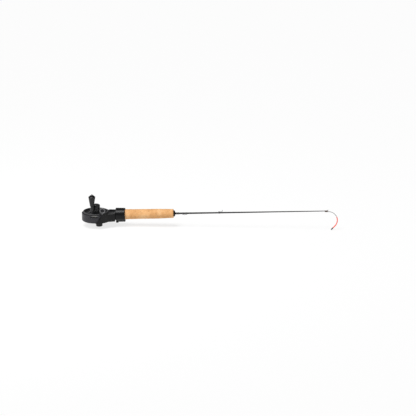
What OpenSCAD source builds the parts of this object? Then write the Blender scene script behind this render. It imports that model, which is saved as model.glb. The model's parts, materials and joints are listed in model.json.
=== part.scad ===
// Ice jigging rod: a round finger reel clamped on the butt of a cork grip, a short tapered blank
// and a spring bobber at the tip. It lies on the reel's drag knob and on the bobber's tip.
// +X runs to the tip, +Z up. The origin is the centre of the drag knob's flat underside.

/* [Reel drum] */
// Outer radius of the drum
drum_r = 33.4; // [30:0.1:40]
// Height of the drum's underside above the table
drum_z = 15; // [12:0.5:20]
// Height of the drum's side wall
drum_h = 19; // [17:0.1:22]
// Thickness of the drum's wall
drum_wall = 2.2; // [1.6:0.1:2.8]
// Thickness of the drum's floor
drum_floor = 2.2; // [1.6:0.1:2.8]
// Radius of the steel axle
axle_r = 2; // [1.6:0.1:2.4]

/* [Spool] */
// Gap between the spool's flanges and the drum
spool_gap = 1; // [0.8:0.1:1.5]
// Radius that the line winds on
core_r = 13; // [11.5:0.5:18]
// Height of the upper flange's rim above the drum's wall
rim_rise = 3.4; // [3:0.2:8]
// Width of the upper flange's rim
rim_w = 3; // [2:0.2:4]
// Depth of the spool's dished face below its rim
dish_depth = 5; // [3:0.2:6]
// Radius of the hub that carries the crank
hub_r = 10.4; // [9.6:0.1:11]
// Height of the hub above the dished face
hub_h = 11.2; // [10:0.2:16]

/* [Crank] */
// Distance of the crank knob from the spool's axis
crank_reach = 20; // [19:0.5:23]
// Direction of the crank at rest, anticlockwise from the rod
crank_angle = 250; // [225:0.5:262]
// Thickness of the crank arm
arm_t = 6.4; // [5:0.2:8]
// Width of the crank arm
arm_w = 8; // [6:0.5:9]
// Length of the crank knob below its cap
knob_len = 27.6; // [22:0.5:34]
// Radius of the crank knob at its shoulder
knob_r = 8.5; // [6.5:0.1:9.6]
// Radius of the crank knob at its foot
knob_foot_r = 4.8; // [4:0.1:5.4]

/* [Drag] */
// Distance of the drag knob from the spool's axis
foot_x = 8; // [8:0.1:9.5]
// Radius of the drag knob
foot_r = 7.8; // [6.5:0.1:9]
// Radius of the drag screw
drag_screw_r = 2; // [1.6:0.1:2.4]

/* [Neck and clamp] */
// Length of the neck in front of the drum
neck_len = 13.8; // [12:0.2:24]
// Half the neck's width at its shoulder
neck_half = 15; // [13.6:0.1:16]
// Height of the neck's flat top above the table
neck_top = 37.3; // [35:0.1:40]
// Length of the clamp collar
collar_len = 22.5; // [20:0.5:32]
// Wall of the clamp collar
collar_wall = 3; // [2.2:0.1:3.4]

/* [Rod] */
// Height of the rod's axis where it passes over the spool's axis
rod_z = 27.7; // [26:0.1:30]
// Angle that the rod climbs at towards its tip
rod_rise = 2; // [1.5:0.1:3]
// Distance from the spool's axis to the front of the grip
grip_end = 187.2; // [150:0.2:230]
// Radius of the grip at its butt
grip_butt_r = 12.2; // [11.5:0.1:12.6]
// Radius of the grip's straight middle
grip_mid_r = 11.7; // [11:0.1:12]
// Radius of the grip at its front
grip_front_r = 10.8; // [10:0.1:11.5]
// Distance from the spool's axis to the end of the blank
blank_end = 555; // [450:0.5:700]
// Radius of the blank at its butt
blank_butt_r = 2.5; // [2.2:0.05:2.8]
// Radius of the blank at its tip
blank_tip_r = 0.9; // [0.7:0.05:1]
// Distance from the spool's axis to the guide
guide_at = 304; // [240:1:400]
// Radius of the hole in the guide's ring
guide_bore = 1.1; // [0.9:0.05:1.6]

/* [Spring bobber] */
// Radius of the spring wire
wire_r = 0.6; // [0.5:0.05:0.7]
// Length of the straight run after the wire's bend
straight_len = 12; // [10:0.5:16]
// Angle that the wire turns through
bend_angle = 135; // [125:1:140]
// Angle of the bend left bare before the coloured tube
bare_angle = 69; // [40:1:90]
// Radius of the coloured tube
tube_r = 1.2; // [1.1:0.05:1.5]
// Radius of the bobber's tip
tip_r = 1.4; // [1.3:0.05:1.8]
// Length of the bobber's tip
tip_len = 7; // [5:0.5:8]

/* [Hidden] */
$fn = 64;
eps = 0.01;
run_fit = 0.04;
glue = 0.02;
gap = 0.3;

drum_top = drum_z + drum_h;
floor_top = drum_z + drum_floor;
drum_in_r = drum_r - drum_wall;
boss_r = axle_r + 2.2;
boss_top = floor_top + 4.2;
washer_t = 0.5;

spool_r = drum_in_r - spool_gap;
spool_z = boss_top + washer_t + 0.1;
flange_t = 1.5;
face_t = 2;
rim_top = drum_top + rim_rise;
face_z = rim_top - dish_depth;
hub_top = face_z + hub_h;
bush_r = axle_r + 1.2;
bush_len = 5;

arm_z = hub_top + 0.2;
arm_top = arm_z + arm_t;
cap_h = 3.2;
clip_z = arm_top + gap;
axle_top = clip_z + 1.3;
crank_x = crank_reach * cos(crank_angle);
crank_y = crank_reach * sin(crank_angle);
leg_r = 3.6;
leg_bottom = face_z + 6;
leg_top = arm_top + 3.2;
knob_z = leg_top + gap;
knob_shoulder = knob_z + 0.84 * knob_len;
knob_top = knob_z + knob_len;
spindle_r = 1.8;
spindle_top = knob_top - 3;
crank_screw_at = 6.9;
small_screw_r = 1;
small_head_r = 1.9;

shoe_w = 2 * (drag_screw_r + 1);
shoe_z = floor_top + 0.65;
shoe_top = spool_z - 1.2;
pad_top = spool_z - 0.5;

notch_half = 9.5;
notch_z = drum_top - 4.6;
roller_r = 1.4;
roller_half = 5.4;
roller_pin_r = 0.7;
roller_y = -(drum_r - 0.9);
roller_z = drum_top - 1.6;

wall_t = 1.6;
frame_r = drum_r + 0.1 + wall_t;
sweep_lo = 2.5;
sweep_hi = drum_r - 10.4;
back_wall_top = drum_top + 0.9;
eye_turn = -56.4;
eye_x = (drum_r + 0.94) * cos(eye_turn);
eye_y = (drum_r + 0.94) * sin(eye_turn);
eye_r = 7.1;
eye_bore = 4.25;
eye_t = 3;
eye_z = neck_top + eye_r + 1.6;
eye_peg_r = 1.3;
eye_peg_z = drum_top + 0.7;

neck_end = drum_r + neck_len;
collar_x = neck_end + 1.3;
collar_end = collar_x + collar_len;
collar_in_r = grip_butt_r + 0.12;
spigot_r = grip_butt_r - 0.1;
grip_start = collar_x + 9.3;
lug_half = 5.5;
lug_drop = collar_in_r + 4.6;
tab_drop = lug_drop + 2.2;
tab_len = 5.6;
slit_w = 2;
clamp_screw_z = -(collar_in_r + 1.75);
clamp_screw_x = [collar_x + 6.2, collar_x + 17];

arbor_r = 4;
grip_butt_len = 12;
grip_run = 45;
check_r = 7.15;
check_len = 3.3;
wrap_end = grip_end + 13.6;
keeper_x = grip_end + 26.5;
keeper_r = 1.7;
keeper_wire = 0.4;
keeper_drop = blank_r(keeper_x) + keeper_wire + glue;

guide_foot = 0.45;
guide_ring_r = guide_bore + 0.45;
guide_frame_r = guide_ring_r + glue + 0.4;
guide_lift = blank_r(guide_at) + guide_frame_r + 1.3;

tip_tube_x = blank_end - 7;
tip_tube_r = blank_r(tip_tube_x) + 0.25;
wire_drop = tip_tube_r + wire_r + glue;
tip_ring_bore = 0.9;
tip_ring_r = 1.5;
tip_ring_lift = tip_ring_r + 0.1;
bobber_x = blank_end + 1.6;
sleeve_x = blank_end - 5.5;
sleeve_bore = wire_r + 0.12;
lap = 0.3;
lap_step = 0.03;

// The bend's radius brings the bobber's tip down to the table, and the straight run follows it.
bend_drop = (1 - cos(bend_angle)) * cos(rod_rise) - sin(bend_angle) * sin(rod_rise);
bend_r = (rod_z + bobber_x * sin(rod_rise) - wire_drop * cos(rod_rise) - tip_r
    - straight_len * sin(bend_angle - rod_rise)) / bend_drop;
bend_end_x = bobber_x + bend_r * sin(bend_angle);
bend_end_z = -wire_drop - bend_r + bend_r * cos(bend_angle);
tube_straight = straight_len + tip_r - tip_len;

function blank_r(x) = blank_butt_r
    + (blank_tip_r - blank_butt_r) * (x - grip_start) / (blank_end - grip_start);

function smooth(t) = t <= 0 ? 0 : t >= 1 ? 1 : t * t * (3 - 2 * t);

function blend(a, b, t) = a + (b - a) * smooth(t);

function arc(cx, cy, r, from, to, steps) = [for (i = [0:steps])
    [cx + r * cos(from + (to - from) * i / steps), cy + r * sin(from + (to - from) * i / steps)]];

// Reel parts are drawn about the spool's axis, and rod parts about the rod's own axis.
module at_axle() {
    translate([-foot_x, 0, 0]) children();
}

module along_rod() {
    translate([-foot_x, 0, rod_z]) rotate([0, -rod_rise, 0]) children();
}

module at_crank_knob() {
    at_axle() translate([crank_x, crank_y, 0]) children();
}

module tube_z(z0, z1, r_out, r_in) {
    translate([0, 0, z0]) difference() {
        cylinder(h = z1 - z0, r = r_out);
        translate([0, 0, -1]) cylinder(h = z1 - z0 + 2, r = r_in);
    }
}

module rod_x(x0, x1, r0, r1) {
    translate([x0, 0, 0]) rotate([0, 90, 0]) cylinder(h = x1 - x0, r1 = r0, r2 = r1);
}

// A hole along the blank, wider than it by a clearance.
module blank_hole(clear) {
    rod_x(grip_start - 1, blank_end + 2, blank_r(grip_start - 1) + clear, blank_r(blank_end + 2) + clear);
}

module turned_x(x0) {
    translate([x0, 0, 0]) rotate([0, 90, 0]) rotate_extrude() children();
}

module bend(from, to, r) {
    translate([bobber_x, 0, -wire_drop - bend_r]) rotate([90, 0, 0]) rotate([0, 0, 90 - to])
        rotate_extrude(angle = to - from) translate([bend_r, 0]) circle(r = r);
}

// Lines up its children with the straight run after the bend, with local X along the run.
module after_bend(distance) {
    translate([bend_end_x, 0, bend_end_z]) rotate([0, bend_angle, 0])
        translate([distance, 0, 0]) children();
}

module drum() {
    bevel = 1.6;
    color("dimgray") at_axle() difference() {
        union() {
            rotate_extrude() polygon([[axle_r, drum_z], [drum_r - bevel, drum_z],
                [drum_r, drum_z + bevel], [drum_r, drum_top - 0.6], [drum_r - 0.6, drum_top],
                [drum_in_r, drum_top], [drum_in_r, floor_top], [boss_r, floor_top],
                [boss_r, boss_top], [axle_r, boss_top]]);
            translate([foot_x - shoe_w / 2 - 1, -shoe_w / 2 - 1, floor_top - eps])
                cube([shoe_w + 2, shoe_w + 2, 2.6]);
            for (side = [-1, 1])
                translate([side * (notch_half + 1) - 1, roller_y - 1.5, notch_z])
                    cube([2, 3, drum_top - notch_z]);
        }
        translate([foot_x - shoe_w / 2 - run_fit, -shoe_w / 2 - run_fit, floor_top])
            cube([shoe_w + 2 * run_fit, shoe_w + 2 * run_fit, 4.4]);
        translate([foot_x, 0, drum_z - 1]) cylinder(h = drum_floor + 2, r = drag_screw_r + run_fit);
        translate([0, 0, drum_z - eps]) cylinder(h = 1.2, r1 = axle_r + 1.4, r2 = axle_r);
        translate([-notch_half, -drum_r - 2, notch_z]) cube([2 * notch_half, 4.6, drum_h]);
        translate([-20, roller_y, roller_z]) rotate([0, 90, 0]) cylinder(h = 40, r = roller_pin_r);
        for (side = [-1, 1]) rotate([0, 0, side * 17]) translate([0, 0, 24.5]) rotate([0, 90, 0]) {
            cylinder(h = drum_r + 5, r = small_screw_r);
            translate([0, 0, drum_in_r - 1]) cylinder(h = 2, r = small_head_r);
        }
    }
}

// A slice across the neck, chamfered along its lower and upper edges.
module neck_slice(x, half, z0, z1, top_chamfer) {
    chamfer = 3;
    translate([x, 0, 0]) rotate([90, 0, 90]) linear_extrude(height = 1.5) polygon([
        [-half, z0 + chamfer], [chamfer - half, z0], [half - chamfer, z0], [half, z0 + chamfer],
        [half, z1 - top_chamfer], [half - top_chamfer, z1], [top_chamfer - half, z1], [-half, z1 - top_chamfer]]);
}

module neck_block() {
    hull() {
        neck_slice(drum_r - 11.4, 22, drum_z, neck_top - 0.4, 5);
        neck_slice(neck_end - 1.6, neck_half, drum_z, neck_top + 1, 3);
    }
}

// The side wall hugs the drum, and its top edge sweeps down to the drum's underside.
module swept_wall() {
    steps = 14;
    intersection() {
        translate([0, 0, drum_z]) cylinder(h = neck_top - drum_z, r = frame_r);
        translate([0, 50, 0]) rotate([90, 0, 0]) linear_extrude(height = 100) polygon(concat(
            [[50, drum_z - 1], [sweep_lo, drum_z - 1]],
            [for (i = [0:steps]) [sweep_lo + (sweep_hi - sweep_lo) * i / steps,
                0.75 * (drum_z + (neck_top + 1 - drum_z) * i / steps)
                + 0.25 * blend(drum_z, neck_top + 1, i / steps)]],
            [[50, neck_top + 1]]));
    }
}

module frame() {
    rest_r = 6;
    rest_depth = 2.6;
    rest_x = [drum_r + 0.1, neck_end - 7];
    boss_w = 8;
    boss_d = 5.2;
    boss_h = 7;
    color([0.13, 0.13, 0.14]) difference() {
        union() {
            at_axle() {
                difference() {
                    union() {
                        neck_block();
                        swept_wall();
                    }
                    translate([0, 0, drum_z - 1]) cylinder(h = 40, r = drum_r + 0.1);
                }
                difference() {
                    translate([eye_x - boss_w / 2, eye_y - boss_d / 2, neck_top - boss_h - 0.2])
                        cube([boss_w, boss_d, boss_h]);
                    cylinder(h = drum_top + 0.2, r = drum_r + 0.1);
                    cylinder(h = 60, r = spool_r + 0.6);
                }
            }
            along_rod() {
                rod_x(neck_end - 2, neck_end + 0.3, spigot_r + 0.8, spigot_r + 0.8);
                rod_x(neck_end + 0.2, grip_start - 0.2, spigot_r, spigot_r);
            }
        }
        at_axle() {
            for (x = rest_x) translate([x, 0, neck_top - rest_depth]) cylinder(h = 20, r = rest_r);
            translate([rest_x[0], -rest_r, neck_top - rest_depth]) cube([rest_x[1] - rest_x[0], 2 * rest_r, 20]);
            translate([eye_x, eye_y, eye_peg_z]) cylinder(h = 20, r = eye_peg_r);
            translate([neck_end - 6, -20, neck_top + 1.1]) cube([6.4, 40, 20]);
            translate([0, 9, back_wall_top]) cube([drum_r - 2.4, 40, 20]);
            for (side = [-1, 1]) rotate([0, 0, side * 17]) translate([0, 0, 24.5]) rotate([0, 90, 0])
                cylinder(h = drum_r + 6, r = small_screw_r);
        }
    }
}

module frame_screws() {
    color("silver") at_axle() for (side = [-1, 1])
        rotate([0, 0, side * 17]) translate([drum_in_r + 0.1, 0, 24.5]) rotate([0, 90, 0])
            difference() {
                union() {
                    cylinder(h = 7, r = small_screw_r - glue);
                    cylinder(h = 0.9 - glue, r = small_head_r - glue);
                }
                for (turn = [0, 90]) rotate([0, 0, turn])
                    translate([-1.2, -0.25, -1]) cube([2.4, 0.5, 1.5]);
            }
}

module axle() {
    color("silver") at_axle() difference() {
        union() {
            translate([0, 0, drum_z]) cylinder(h = axle_top - drum_z - 0.3, r = axle_r);
            translate([0, 0, axle_top - 0.3]) cylinder(h = 0.3, r1 = axle_r, r2 = axle_r - 0.3);
            translate([0, 0, drum_z]) cylinder(h = 1.18, r1 = axle_r + 1.38, r2 = axle_r);
        }
        tube_z(clip_z, clip_z + 0.5, axle_r + 1, axle_r - 0.5);
    }
}

module axle_clip() {
    color("silver") at_axle() difference() {
        tube_z(clip_z + glue, clip_z + 0.5 - glue, axle_r + 1.5, axle_r - 0.5 + glue);
        translate([-1.1, -5, clip_z - 1]) cube([2.2, 5, 3]);
    }
}

module thrust_washer() {
    color("goldenrod") at_axle() tube_z(boss_top, boss_top + washer_t, boss_r, axle_r + 0.05);
}

module line_eye() {
    flat = 1;
    color([0.16, 0.16, 0.17]) at_axle() {
        translate([eye_x, eye_y + eye_t / 2, eye_z]) rotate([90, 0, 0]) rotate_extrude()
            polygon([[eye_bore, flat / 2], [eye_bore + 0.8, 0], [eye_r - 0.8, 0], [eye_r, 0.8],
                [eye_r, eye_t - 0.8], [eye_r - 0.8, eye_t], [eye_bore + 0.8, eye_t],
                [eye_bore, eye_t - flat / 2]]);
        translate([eye_x, eye_y, eye_peg_z + glue])
            cylinder(h = eye_z - eye_r + 0.5 - eye_peg_z, r = eye_peg_r - glue);
        translate([eye_x, eye_y, neck_top + glue]) cylinder(h = eye_z - eye_r + 0.6 - neck_top, r1 = 2.4, r2 = 1.9);
    }
}

module line_roller() {
    color("silver") at_axle() translate([-roller_half, roller_y, roller_z]) rotate([0, 90, 0])
        rotate_extrude() polygon([[roller_pin_r + run_fit, 0], [roller_r, 0], [roller_r, 0.8],
            [roller_r - 0.25, 1.6], [roller_r - 0.25, 2 * roller_half - 1.6],
            [roller_r, 2 * roller_half - 0.8], [roller_r, 2 * roller_half],
            [roller_pin_r + run_fit, 2 * roller_half]]);
}

module roller_pin() {
    color("silver") at_axle() translate([-notch_half - 2, roller_y, roller_z]) rotate([0, 90, 0])
        cylinder(h = 2 * notch_half + 4, r = roller_pin_r);
}

module clamp_collar() {
    top_r = collar_in_r + collar_wall;
    flare = 0.7;
    color([0.11, 0.11, 0.12]) along_rod() difference() {
        union() {
            turned_x(collar_x) polygon([[collar_in_r, 0], [top_r + flare - 1, 0],
                [top_r + flare, 1], [top_r + flare - 0.2, 4], [top_r, collar_len - 0.8],
                [top_r - 0.8, collar_len], [collar_in_r, collar_len]]);
            translate([collar_x, -lug_half, -lug_drop]) cube([collar_len - 0.3, 2 * lug_half, 8]);
            translate([collar_x, -lug_half, -tab_drop]) cube([tab_len, 2 * lug_half, 8]);
        }
        rod_x(collar_x - 1, collar_end + 1, collar_in_r, collar_in_r);
        translate([collar_x - 1, -slit_w / 2, -tab_drop - 1]) cube([collar_len + 2, slit_w, 12]);
        for (x = clamp_screw_x) translate([x, 20, clamp_screw_z]) rotate([90, 0, 0]) {
            cylinder(h = 40, r = small_screw_r + glue);
            translate([0, 0, 20 + lug_half]) cylinder(h = 4, r = small_head_r);
        }
        for (x = clamp_screw_x) translate([x, lug_half - 1, clamp_screw_z]) rotate([-90, 0, 0])
            cylinder(h = 3, r = small_head_r + 0.2, $fn = 6);
    }
}

module clamp_screws() {
    color("gray") along_rod() for (x = clamp_screw_x)
        translate([x, -lug_half, clamp_screw_z]) rotate([-90, 0, 0]) difference() {
            union() {
                translate([0, 0, -0.5]) cylinder(h = 2 * lug_half + 0.5, r = small_screw_r);
                translate([0, 0, -1.2]) cylinder(h = 1.2 - glue, r = 1.75);
            }
            translate([-2, -0.25, -2]) cube([4, 0.5, 1.4]);
        }
}

module clamp_nuts() {
    color("silver") along_rod() for (x = clamp_screw_x)
        translate([x, lug_half - 1 + glue, clamp_screw_z]) rotate([-90, 0, 0]) difference() {
            cylinder(h = 1.3, r = small_head_r + 0.15, $fn = 6);
            translate([0, 0, -1]) cylinder(h = 4, r = small_screw_r + glue);
        }
}

module drag_knob() {
    flutes = 12;
    top = drum_z - gap;
    flare = 5;
    waist = drag_screw_r + 3.6;
    flare_start = 180 + acos((waist + flare - foot_r) / flare);
    color([0.12, 0.12, 0.13]) difference() {
        rotate_extrude() polygon(concat([[0, 0], [foot_r - 0.8, 0], [foot_r, 0.8]],
            arc(waist + flare, top - 3.2, flare, flare_start, 180, 8), [[waist, top], [0, top]]));
        translate([0, 0, top - 1.1]) cylinder(h = 2, r = drag_screw_r + 2.2);
        translate([0, 0, 3]) cylinder(h = 20, r = drag_screw_r);
        for (i = [0:flutes - 1]) rotate([0, 0, i * 360 / flutes]) translate([foot_r + 0.5, 0, 1.2])
            cylinder(h = 5, r = 1.1, $fn = 24);
    }
}

module drag_screw() {
    color("silver") {
        translate([0, 0, 3]) cylinder(h = shoe_top - 0.4 - 3, r = drag_screw_r);
        translate([0, 0, floor_top + 0.05]) cylinder(h = 0.4, r = shoe_w / 2 - 0.1);
    }
}

module drag_washer() {
    color("silver") tube_z(drum_z - gap - 1.1, drum_z - 0.05, drag_screw_r + 2, drag_screw_r + glue);
}

module brake_shoe() {
    color("ivory") difference() {
        translate([-shoe_w / 2, -shoe_w / 2, shoe_z]) cube([shoe_w, shoe_w, shoe_top - shoe_z]);
        translate([0, 0, shoe_z - 1]) cylinder(h = 10, r = drag_screw_r + run_fit);
    }
}

module brake_pad() {
    color("saddlebrown") translate([0, 0, shoe_top]) cylinder(h = pad_top - shoe_top, r = shoe_w / 2 - 0.2);
}

module spool() {
    color([0.2, 0.2, 0.22]) at_axle() difference() {
        rotate_extrude() polygon([[axle_r + 0.4, spool_z], [spool_r, spool_z],
            [spool_r, spool_z + flange_t], [core_r, spool_z + flange_t], [core_r, face_z - face_t],
            [spool_r, face_z - face_t], [spool_r, rim_top - 0.5], [spool_r - 0.5, rim_top],
            [spool_r - rim_w, rim_top], [spool_r - rim_w - 0.4, face_z], [hub_r + 0.8, face_z],
            [hub_r, face_z + 0.8], [hub_r, hub_top], [axle_r + 0.4, hub_top]]);
        translate([0, 0, spool_z - 1]) cylinder(h = bush_len + 1, r = bush_r);
        translate([0, 0, hub_top - bush_len]) cylinder(h = bush_len + 1, r = bush_r);
        for (turn = [90, 270]) rotate([0, 0, crank_angle + turn])
            translate([crank_screw_at, 0, hub_top - 8]) cylinder(h = 10, r = small_screw_r);
    }
}

module spool_bushings() {
    color("goldenrod") at_axle() {
        tube_z(spool_z, spool_z + bush_len, bush_r, axle_r + run_fit);
        tube_z(hub_top - bush_len, hub_top, bush_r, axle_r + run_fit);
    }
}

module crank_arm() {
    color([0.15, 0.15, 0.16]) at_axle() difference() {
        union() {
            translate([0, 0, arm_z]) cylinder(h = arm_t, r = hub_r);
            rotate([0, 0, crank_angle]) translate([0, -arm_w / 2, arm_z]) cube([crank_reach, arm_w, arm_t]);
            translate([crank_x, crank_y, arm_z]) cylinder(h = arm_t, r = arm_w / 2 + 0.6);
            translate([crank_x, crank_y, leg_bottom]) cylinder(h = leg_top - leg_bottom, r = leg_r);
        }
        translate([0, 0, arm_z - 1]) cylinder(h = 20, r = axle_r + 0.5);
        translate([crank_x, crank_y, leg_bottom + 1]) cylinder(h = 40, r = spindle_r);
        for (turn = [90, 270]) rotate([0, 0, crank_angle + turn]) translate([crank_screw_at, 0, arm_z - 1]) {
            cylinder(h = 20, r = small_screw_r);
            translate([0, 0, arm_t - 0.4]) cylinder(h = 3, r = small_head_r + 0.1);
        }
    }
}

module crank_screws() {
    color("silver") at_axle() for (turn = [90, 270])
        rotate([0, 0, crank_angle + turn]) translate([crank_screw_at, 0, 0]) difference() {
            union() {
                translate([0, 0, hub_top - 7.8]) cylinder(h = arm_top - 1.4 - hub_top + 7.9, r = small_screw_r - glue);
                translate([0, 0, arm_top - 1.4 + glue]) cylinder(h = 1.3 - glue, r = small_head_r);
            }
            translate([-2, -0.25, arm_top - 0.7]) cube([4, 0.5, 2]);
        }
}

module hub_cap() {
    shoulder = 2.6;
    color([0.17, 0.17, 0.18]) at_axle() difference() {
        rotate_extrude() polygon(concat([[0, arm_top + glue], [hub_r, arm_top + glue]],
            arc(hub_r - shoulder, arm_top + cap_h - shoulder, shoulder, 0, 90, 8),
            [[0, arm_top + cap_h]]));
        translate([0, 0, arm_top - 1]) cylinder(h = cap_h, r = hub_r - 4.2);
    }
}

module knob_spindle() {
    color("silver") at_crank_knob() {
        translate([0, 0, leg_bottom + 1]) cylinder(h = spindle_top - leg_bottom - 1, r = spindle_r);
        translate([0, 0, spindle_top - 1.3]) cylinder(h = 1.3, r = spindle_r + 1);
    }
}

module crank_knob() {
    flutes = 8;
    lean = atan((knob_r - knob_foot_r) / (knob_shoulder - knob_z));
    color([0.16, 0.16, 0.17]) at_crank_knob() difference() {
        rotate_extrude() polygon([[spindle_r + run_fit, knob_z], [knob_foot_r - 0.5, knob_z],
            [knob_foot_r, knob_z + 0.5], [knob_r, knob_shoulder], [knob_r - 0.5, knob_shoulder + 0.9],
            [3.4, knob_top], [spindle_r + run_fit, knob_top]]);
        translate([0, 0, spindle_top - 1.6]) cylinder(h = 10, r = spindle_r + 1.1);
        for (i = [0:flutes - 1]) rotate([0, 0, (i + 0.5) * 360 / flutes])
            translate([knob_foot_r + 1, 0, knob_z + 3]) rotate([0, lean, 0])
                cylinder(h = knob_shoulder - knob_z + 8, r = 1.7);
    }
}

module knob_cap() {
    color([0.18, 0.18, 0.19]) at_crank_knob() {
        translate([0, 0, knob_top - 2.4]) cylinder(h = 2.6, r = spindle_r + 1.08);
        translate([0, 0, knob_top + glue]) rotate_extrude() polygon([[0, 0], [3.3, 0],
            [2.2, 1], [1.4, 1.9], [0, 2]]);
    }
}

module cork_grip() {
    steps = 8;
    nose = 2.2;
    length = grip_end - grip_start;
    butt_swell = [for (i = [0:steps]) [blend(grip_butt_r, grip_mid_r, i / steps),
        grip_butt_len + (grip_run - grip_butt_len) * i / steps]];
    front_taper = [for (i = [0:steps]) [blend(grip_mid_r, grip_front_r, i / steps),
        length - grip_run + (grip_run - nose) * i / steps]];
    color("burlywood") along_rod() turned_x(grip_start) polygon(concat(
        [[arbor_r, 0], [grip_butt_r, 0]], butt_swell, front_taper,
        arc(grip_front_r - nose, length - nose, nose, 15, 90, 5), [[arbor_r, length]]));
}

module grip_arbor() {
    color("dimgray") along_rod() difference() {
        rod_x(grip_start, grip_end, arbor_r, arbor_r);
        blank_hole(glue);
    }
}

module winding_check() {
    color([0.1, 0.1, 0.1]) along_rod() difference() {
        turned_x(grip_end) polygon([[0, 0], [check_r - 0.6, 0], [check_r, 0.6], [check_r, check_len - 1],
            [check_r - 1.4, check_len], [3, check_len + 0.4], [2.6, check_len + 1.3], [0, check_len + 1.3]]);
        blank_hole(glue);
    }
}

module rod_blank() {
    color([0.09, 0.09, 0.1]) along_rod() rod_x(grip_start, blank_end, blank_butt_r, blank_tip_r);
}

// A sleeve of whipping thread on the blank, with rounded ends.
module whipping(x0, x1, t) {
    difference() {
        turned_x(x0) polygon([[0, 0], [blank_r(x0) + 0.1, 0], [blank_r(x0) + t, 0.7],
            [blank_r(x1) + t, x1 - x0 - 0.7], [blank_r(x1) + 0.1, x1 - x0], [0, x1 - x0]]);
        blank_hole(glue);
    }
}

module handle_wrap() {
    color([0.12, 0.12, 0.13]) along_rod() whipping(grip_end + check_len + 1.4, wrap_end, 0.45);
}

module hook_keeper() {
    color("gray") along_rod() {
        translate([keeper_x, 0, -keeper_drop]) rotate([90, 0, 0]) rotate([0, 0, 180])
            rotate_extrude(angle = 180) translate([keeper_r, 0]) circle(r = keeper_wire);
        for (side = [-1, 1]) translate([keeper_x + side * keeper_r, 0, -keeper_drop])
            rotate([0, side * 90, 0]) cylinder(h = 3.2, r = keeper_wire);
    }
}

module keeper_wraps() {
    color([0.12, 0.12, 0.13]) along_rod() for (side = [-1, 1]) difference() {
        start = keeper_x + side * 3.9 - 1.4;
        translate([0, 0, -0.45]) rod_x(start, start + 2.8, blank_r(start) + 0.75, blank_r(start) + 0.75);
        blank_hole(glue);
        translate([start - 1, 0, -keeper_drop]) rotate([0, 90, 0]) cylinder(h = 5, r = keeper_wire + glue);
    }
}

module guide_frame() {
    foot_z = blank_r(guide_at - 6) + guide_foot + glue;
    leg_from = [guide_at - 4.6, foot_z];
    leg_to = [guide_at, guide_lift - guide_frame_r - 0.05];
    leg_len = norm(leg_to - leg_from);
    leg_turn = atan2(leg_to[0] - leg_from[0], leg_to[1] - leg_from[1]);
    color("dimgray") along_rod() {
        translate([guide_at - 0.4, 0, guide_lift]) rotate([0, 90, 0]) tube_z(0, 0.8, guide_frame_r, guide_ring_r + glue);
        translate([leg_from[0], 0, leg_from[1]]) rotate([0, leg_turn, 0])
            cylinder(h = leg_len, r = guide_foot - 0.05);
        translate([0, 0, foot_z]) rod_x(guide_at - 9, leg_from[0] + 0.4, guide_foot, guide_foot);
    }
}

module guide_ring() {
    color("lightslategray") along_rod() translate([guide_at, 0, guide_lift]) rotate([0, 90, 0])
        rotate_extrude() polygon([[guide_bore, -0.3], [guide_bore + 0.15, -0.45], [guide_ring_r, -0.45],
            [guide_ring_r, 0.45], [guide_bore + 0.15, 0.45], [guide_bore, 0.3]]);
}

module guide_wraps() {
    start = guide_at - 9.6;
    foot_z = blank_r(guide_at - 6) + guide_foot + glue;
    color([0.12, 0.12, 0.13]) along_rod() difference() {
        translate([0, 0, 0.45]) rod_x(start, start + 4.4, blank_r(start) + 0.8, blank_r(start) + 0.8);
        blank_hole(glue);
        translate([0, 0, foot_z]) rod_x(start + 0.5, start + 6, guide_foot + glue, guide_foot + glue);
    }
}

module tip_tube() {
    color("saddlebrown") along_rod() difference() {
        rod_x(tip_tube_x, blank_end + 0.3, tip_tube_r, tip_tube_r);
        rod_x(grip_start, blank_end, blank_butt_r + glue, blank_tip_r + glue);
    }
}

module tip_ring() {
    color("gray") along_rod() translate([blank_end + 0.32, 0, tip_ring_lift]) rotate([0, 90, 0])
        difference() {
            union() {
                tube_z(0, 0.9, tip_ring_r, tip_ring_bore);
                translate([0.9, -0.6, 0]) cube([0.8, 1.2, 0.9]);
            }
            translate([0, 0, -1]) cylinder(h = 3, r = tip_ring_bore);
        }
}

module bobber_sleeve() {
    color([0.25, 0.14, 0.08]) along_rod() difference() {
        union() {
            rod_x(sleeve_x, blank_end, tip_tube_r + 0.2, tip_tube_r + 0.2);
            translate([0, 0, -wire_drop]) rod_x(sleeve_x, bobber_x - wire_r - 0.2, wire_r + 0.3, wire_r + 0.3);
        }
        rod_x(sleeve_x - 1, blank_end + 1, tip_tube_r + glue, tip_tube_r + glue);
        translate([0, 0, -wire_drop]) rod_x(sleeve_x - 1, bobber_x + 1, sleeve_bore, sleeve_bore);
    }
}

module bobber_anchor() {
    color("silver") along_rod() translate([0, 0, -wire_drop])
        rod_x(sleeve_x - 2, bobber_x - wire_r - 0.25, wire_r, wire_r);
}

module bobber_wire() {
    color("silver") along_rod() {
        translate([bobber_x, wire_r + 0.1, -wire_drop]) rotate([90, 0, 0])
            cylinder(h = 2 * wire_r + 0.2, r = wire_r + 0.1);
        bend(0, bend_angle, wire_r);
        after_bend(0) rod_x(-lap, straight_len - 2.4, wire_r + lap_step, wire_r + lap_step);
    }
}

module bobber_tube() {
    hole = wire_r + lap_step + glue;
    color("orangered") along_rod() difference() {
        union() {
            bend(bare_angle, bend_angle, tube_r);
            after_bend(0) rod_x(-lap, tube_straight, tube_r + lap_step, tube_r + lap_step);
        }
        bend(bare_angle - 4, bend_angle, hole);
        after_bend(0) rod_x(-2 * lap, tube_straight + 1, hole + lap_step, hole + lap_step);
    }
}

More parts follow.
